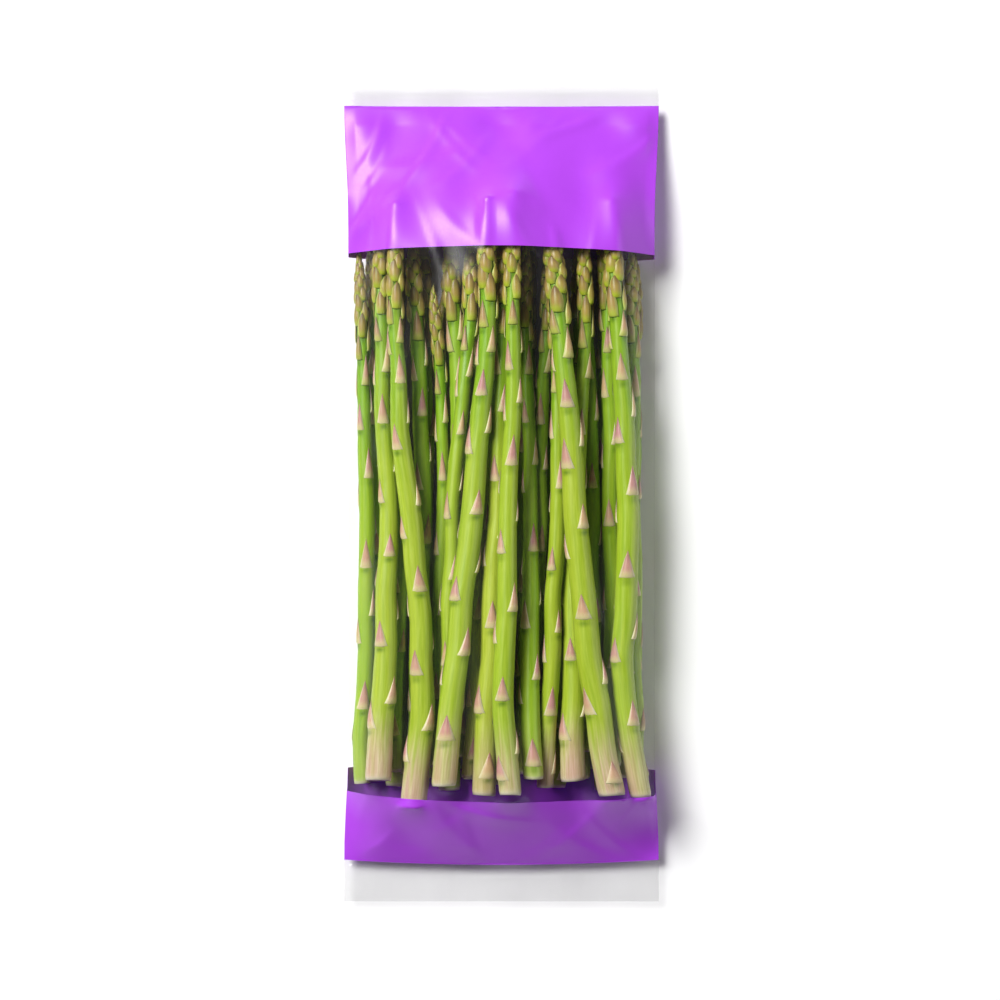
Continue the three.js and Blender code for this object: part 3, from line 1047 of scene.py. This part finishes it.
            # The back panel's folds fade out where it lies flat.
            z += self.folds(x, y) * np.clip(z / (4 * MM) - 0.2, 0, 0.6)
        bm = bmesh.new()
        row = bm.verts.layers.float.new("row")
        width, length = self.columns, len(y) - 1
        grid = bmesh.ops.create_grid(bm, x_segments=width, y_segments=length, size=1)["verts"]
        for vert in grid:
            i, j = round((vert.co.x + 1) / 2 * width), round((vert.co.y + 1) / 2 * length)
            vert[row] = j
            vert.co = (x[j, i], y[j, i], max(z[j, i], self.film / 2))
        ends = np.cumsum(self.rows)
        finish_of = (2, 1, 0, 1, 2)  # seal, footer, window, header, seal
        for face in bm.faces:
            middle = sum(vert[row] for vert in face.verts) / 4
            face.material_index = finish_of[int(np.searchsorted(ends, middle))]
            face.smooth = True
        if not front:
            bmesh.ops.reverse_faces(bm, faces=list(bm.faces))
        piece = finish_mesh(bm, self.node.replace("panel", "film"), finishes)
        thick = piece.modifiers.new("film_thickness", "SOLIDIFY")
        thick.thickness = self.film
        thick.offset = 0.0
        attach(piece, "root")
        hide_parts(self.node)
        log.info("%s: %d faces", piece.name, len(piece.data.polygons))
        return piece


# ---- The stage ----


@dataclass
class Stage:
    """The white board, the soft studio lights and the camera straight above."""

    board_size: float = 6.0
    view: float = 0.4  # what the camera sees across, at the bag
    camera_height: float = 1.6  # above the middle of the bundle
    bundle_middle: float = 0.02
    sensor_mm: float = 36.0
    centre: tuple[float, float] = (-0.6 * MM, -3.0 * MM)
    surround: float = 0.06

    def board(self) -> None:
        """Lays the board just under the bag."""
        bm = bmesh.new()
        bmesh.ops.create_grid(bm, x_segments=1, y_segments=1, size=self.board_size / 2)
        just_under = (0, 0, -0.1 * MM)
        bmesh.ops.translate(bm, verts=list(bm.verts), vec=just_under)
        board = finish_mesh(bm, "white_board", [Table().build()])

    def softbox(self, name: str, place: Triple, size: tuple[float, float], power: float) -> None:
        """Hangs a softbox that points at the bag.

        Args:
            name: the light's name.
            place: where it hangs.
            size: its width and height.
            power: its power in watts.
        """
        data = bpy.data.lights.new(name, "AREA")
        data.shape = "RECTANGLE"
        data.size, data.size_y = size
        data.energy = power
        light = bpy.data.objects.new(name, data)
        bpy.context.scene.collection.objects.link(light)
        light.location = place
        light.rotation_euler = light.location.to_track_quat("Z", "Y").to_euler()

    def light(self) -> None:
        """A key from the upper left, weak fills on the right and at the cut ends, and a dim surround."""
        self.softbox("key_softbox", (-1.25, 1.15, 1.95), (1.2, 1.2), 100.0)
        self.softbox("right_fill", (2.0, 0.2, 1.1), (1.2, 1.6), 13.0)
        self.softbox("low_fill", (-1.1, -2.0, 0.8), (1.4, 1.0), 5.0)
        world = bpy.data.worlds.new("studio")
        world.use_nodes = True
        background = world.node_tree.nodes["Background"]
        background.inputs["Color"].default_value = (1.0, 1.0, 1.0, 1.0)
        background.inputs["Strength"].default_value = self.surround
        bpy.context.scene.world = world

    def camera(self) -> None:
        """Sets the camera straight above, with the tips at the top of the view."""
        data = bpy.data.cameras.new("camera")
        data.sensor_width = self.sensor_mm
        data.lens = data.sensor_width * self.camera_height / self.view
        camera = bpy.data.objects.new("camera", data)
        bpy.context.scene.collection.objects.link(camera)
        camera.location = (*self.centre, self.camera_height + self.bundle_middle)
        bpy.context.scene.camera = camera

    def build(self) -> None:
        """Sets up everything that isn't the object."""
        self.camera()
        self.board()
        self.light()
        bpy.context.scene.view_settings.view_transform = "Standard"


def main() -> None:
    """Builds the spears, the film round them and the stage."""
    logging.basicConfig(level=logging.INFO, format="%(message)s")
    Stage().build()
    skin = SpearSkin().build()
    spears = [Spear(name) for name in sorted(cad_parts) if name.startswith("spear_")]
    for spear in spears:
        spear.build(skin)
    sealed = ClearFilm(name="heat_sealed_film", tint="fcfcfc", milk="d9d9d9", haze=0.012, gloss=0.6)
    finishes = [ClearFilm().build(), PurplePrint().build(), sealed.build()]
    front = FilmPanel("bag_front_panel", 1, header_edge=97.8 * MM, footer_edge=-123 * MM)
    back = FilmPanel("bag_back_panel", -1, header_edge=95 * MM, footer_edge=-112 * MM)
    for panel in (front, back):
        panel.build(spears, finishes)


if __name__ == "__main__":
    main()
